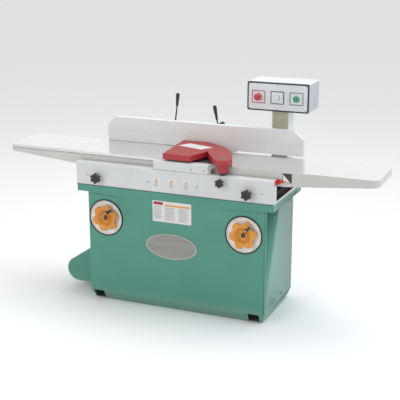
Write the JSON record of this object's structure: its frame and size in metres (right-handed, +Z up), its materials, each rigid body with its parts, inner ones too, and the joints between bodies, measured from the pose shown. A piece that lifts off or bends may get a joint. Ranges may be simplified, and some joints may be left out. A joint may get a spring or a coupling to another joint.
{
  "type": "jointer",
  "caption": "Floor-standing woodworking jointer: long in-line tables, cutterhead under a swinging guard, sliding and tilting fence, sheet-metal cabinet, pedestal switch.",
  "frame": {"origin": "on the floor, below the cutterhead's axis and midway through the cabinet's depth, on the base's underside", "axes": "+X from the outfeed end to the infeed end, +Y from the operator's side to the back, +Z up"},
  "size_m": [2.05, 0.776, 1.18],
  "materials": {
    "green_paint": "semi-gloss",
    "dark_steel": "satin",
    "white_pan": "semi-gloss",
    "black_trim": "matt",
    "label": "satin film",
    "white_paint": "semi-gloss",
    "red_pointer": "gloss",
    "zinc_screws": "zinc",
    "bearing_iron": "machined",
    "motor_grey": "satin",
    "pulley_iron": "turned",
    "belt_rubber": "matt",
    "guard_sheet": "semi-gloss",
    "head_steel": "machined",
    "carbide": "ground",
    "port_black": "moulded",
    "ground_iron": "ground, oiled",
    "scale_plate": "satin",
    "bronze": "turned",
    "orange_plastic": "moulded",
    "black_plastic": "moulded",
    "red_paint": "semi-gloss, on cast aluminium",
    "fence_iron": "ground",
    "grey_casting": "painted",
    "post_paint": "satin",
    "box_paint": "satin",
    "bezel_grey": "moulded",
    "lamp_lens": "clear moulded",
    "red_button": "moulded",
    "green_button": "moulded"
  },
  "bodies": {
    "frame": {"cabinet_shell": "green_paint", "rear_panel": "green_paint", "motor_cover": "green_paint", "top_tray": "green_paint", "base_pan": "dark_steel", "motor_mount": "dark_steel", "wheel_pans": "white_pan", "wheel_trims": "black_trim", "switch_gasket": "black_trim", "blank_plates": "label", "bed_casting": "white_paint", "rabbet_ledge": "white_paint", "depth_pointer": "red_pointer", "machine_screws": "zinc_screws", "bearing_block_front": "bearing_iron", "bearing_block_rear": "bearing_iron", "motor_body": "motor_grey", "drive_belts": "belt_rubber", "belt_guard": "guard_sheet", "dust_port": "port_black", "cord_gland": "port_black", "fence_support": "grey_casting", "pedestal_post": "post_paint", "switch_box": "box_paint", "switch_panel": "box_paint", "button_bezels": "bezel_grey", "power_lamp": "lamp_lens"},
    "infeed_table": {"infeed_table": "ground_iron", "depth_plate": "scale_plate", "lift_nut_right": "bronze"},
    "outfeed_table": {"outfeed_table": "ground_iron", "lift_nut_left": "bronze"},
    "wheel_left": {"handwheel_left": "orange_plastic", "wheel_shaft_left": "head_steel"},
    "wheel_right": {"handwheel_right": "orange_plastic", "wheel_shaft_right": "head_steel"},
    "grip_left": {"grip_left": "black_plastic"},
    "grip_right": {"grip_right": "black_plastic"},
    "screw_left": {"lift_screw_left": "head_steel"},
    "screw_right": {"lift_screw_right": "head_steel"},
    "rocker_1": {"rocker_1": "head_steel"},
    "rocker_2": {"rocker_2": "head_steel"},
    "rocker_3": {"rocker_3": "head_steel"},
    "rocker_4": {"rocker_4": "head_steel"},
    "cutterhead": {"cutterhead": "head_steel", "cutter_inserts": "carbide", "cutterhead_pulley": "pulley_iron"},
    "motor_rotor": {"motor_pulley": "pulley_iron"},
    "guard_post": {"guard_post": "head_steel"},
    "cutter_guard": {"cutter_guard": "red_paint"},
    "knob_left": {"knob_left": "black_plastic"},
    "knob_right": {"knob_right": "black_plastic"},
    "knob_guard": {"knob_guard": "black_plastic"},
    "carriage": {"fence_carriage": "grey_casting"},
    "fence": {"fence": "fence_iron", "fence_bracket": "grey_casting"},
    "tilt_lever": {"tilt_lever": "black_plastic"},
    "slide_lever": {"slide_lever": "black_plastic"},
    "stop_button": {"stop_button": "red_button"},
    "start_button": {"start_button": "green_button"}
  },
  "joints": [
    {"name": "infeed_height", "type": "slide", "parent": "frame", "child": "infeed_table", "axis": [-0.7071, 0, 0.7071], "range_m": [-0.014, 0.0084]},
    {"name": "outfeed_height", "type": "slide", "parent": "frame", "child": "outfeed_table", "axis": [0.7071, 0, 0.7071], "range_m": [-0.011, 0.0006]},
    {"name": "wheel_right_spin", "type": "hinge", "parent": "frame", "child": "wheel_right", "pos_m": [0.367, -0.24, 0.472], "axis": [0, 1, 0], "range_deg": [-252.5, 151.7]},
    {"name": "wheel_left_spin", "type": "hinge", "parent": "frame", "child": "wheel_left", "pos_m": [-0.41, -0.24, 0.472], "axis": [0, 1, 0], "range_deg": [-198.5, 11.3]},
    {"name": "screw_right_spin", "type": "hinge", "parent": "frame", "child": "screw_right", "pos_m": [0.367, -0.06, 0.472], "axis": [-0.7071, 0, 0.7071], "range_deg": [-252.5, 151.7]},
    {"name": "screw_left_spin", "type": "hinge", "parent": "frame", "child": "screw_left", "pos_m": [-0.41, -0.06, 0.472], "axis": [0.7071, 0, 0.7071], "range_deg": [-198.5, 11.3]},
    {"name": "rocker_1_turn", "type": "hinge", "parent": "frame", "child": "rocker_1", "pos_m": [-0.52, 0, 0.69], "axis": [0, 1, 0], "range_deg": [-19.04, 1.51]},
    {"name": "rocker_2_turn", "type": "hinge", "parent": "frame", "child": "rocker_2", "pos_m": [-0.33, 0, 0.69], "axis": [0, 1, 0], "range_deg": [-19.04, 1.51]},
    {"name": "rocker_3_turn", "type": "hinge", "parent": "frame", "child": "rocker_3", "pos_m": [0.33, 0, 0.69], "axis": [0, -1, 0], "range_deg": [-24.09, 14.66]},
    {"name": "rocker_4_turn", "type": "hinge", "parent": "frame", "child": "rocker_4", "pos_m": [0.45, 0, 0.69], "axis": [0, -1, 0], "range_deg": [-24.09, 14.66]},
    {"name": "grip_right_spin", "type": "hinge", "parent": "wheel_right", "child": "grip_right", "pos_m": [0.40332, -0.27, 0.51849], "axis": [0, 1, 0], "continuous": true},
    {"name": "grip_left_spin", "type": "hinge", "parent": "wheel_left", "child": "grip_left", "pos_m": [-0.37368, -0.27, 0.51849], "axis": [0, 1, 0], "continuous": true},
    {"name": "cutterhead_spin", "type": "hinge", "parent": "frame", "child": "cutterhead", "pos_m": [0, 0, 0.762], "axis": [0, 1, 0], "continuous": true},
    {"name": "motor_spin", "type": "hinge", "parent": "frame", "child": "motor_rotor", "pos_m": [-0.54, 0.1, 0.15], "axis": [0, 1, 0], "continuous": true},
    {"name": "fence_slide", "type": "slide", "parent": "frame", "child": "carriage", "axis": [0, -1, 0], "range_m": [0, 0.25]},
    {"name": "fence_tilt", "type": "hinge", "parent": "carriage", "child": "fence", "pos_m": [0, 0.131, 0.822], "axis": [-1, 0, 0], "range_deg": [0, 45]},
    {"name": "tilt_lever_swing", "type": "hinge", "parent": "carriage", "child": "tilt_lever", "pos_m": [-0.228, 0.25, 0.852], "axis": [0, 1, 0], "range_deg": [-20, 20]},
    {"name": "slide_lever_swing", "type": "hinge", "parent": "carriage", "child": "slide_lever", "pos_m": [0.049, 0.25, 0.852], "axis": [0, 1, 0], "range_deg": [-20, 20]},
    {"name": "guard_swing", "type": "hinge", "parent": "frame", "child": "guard_post", "pos_m": [0.246, -0.214, 0.78], "axis": [0, 0, 1], "range_deg": [0, 75], "stiffness_Nm_per_rad": 2, "springref_deg": -34.38},
    {"name": "guard_yield", "type": "hinge", "parent": "guard_post", "child": "cutter_guard", "pos_m": [0.246, -0.214, 0.83], "axis": [0, 0, 1], "range_deg": [0, 61]},
    {"name": "knob_left_turn", "type": "hinge", "parent": "frame", "child": "knob_left", "pos_m": [-0.452, -0.26, 0.689], "axis": [0, 1, 0], "continuous": true},
    {"name": "knob_right_turn", "type": "hinge", "parent": "frame", "child": "knob_right", "pos_m": [0.388, -0.26, 0.689], "axis": [0, 1, 0], "continuous": true},
    {"name": "knob_guard_turn", "type": "hinge", "parent": "frame", "child": "knob_guard", "pos_m": [0.246, -0.26, 0.733], "axis": [0, 1, 0], "continuous": true},
    {"name": "stop_press", "type": "slide", "parent": "frame", "child": "stop_button", "axis": [0, 1, 0], "range_m": [0, 0.004], "stiffness_N_per_m": 400, "springref_m": -0.002},
    {"name": "start_press", "type": "slide", "parent": "frame", "child": "start_button", "axis": [0, 1, 0], "range_m": [0, 0.004], "stiffness_N_per_m": 400, "springref_m": -0.002}
  ],
  "couplings": [
    {"joint": "wheel_right_spin", "follows": "infeed_height", "rad_per_m": 314.16},
    {"joint": "wheel_left_spin", "follows": "outfeed_height", "rad_per_m": 314.16},
    {"joint": "screw_right_spin", "follows": "infeed_height", "rad_per_m": 314.16},
    {"joint": "screw_left_spin", "follows": "outfeed_height", "rad_per_m": 314.16},
    {"joint": "rocker_1_turn", "follows": "outfeed_height", "rad_per_m": 29.412},
    {"joint": "rocker_2_turn", "follows": "outfeed_height", "rad_per_m": 29.412},
    {"joint": "rocker_3_turn", "follows": "infeed_height", "rad_per_m": 29.412},
    {"joint": "rocker_4_turn", "follows": "infeed_height", "rad_per_m": 29.412},
    {"joint": "motor_spin", "follows": "cutterhead_spin", "ratio": 0.70732},
    {"joint": "guard_yield", "follows": "fence_slide", "rad_per_m": 4.1888}
  ]
}
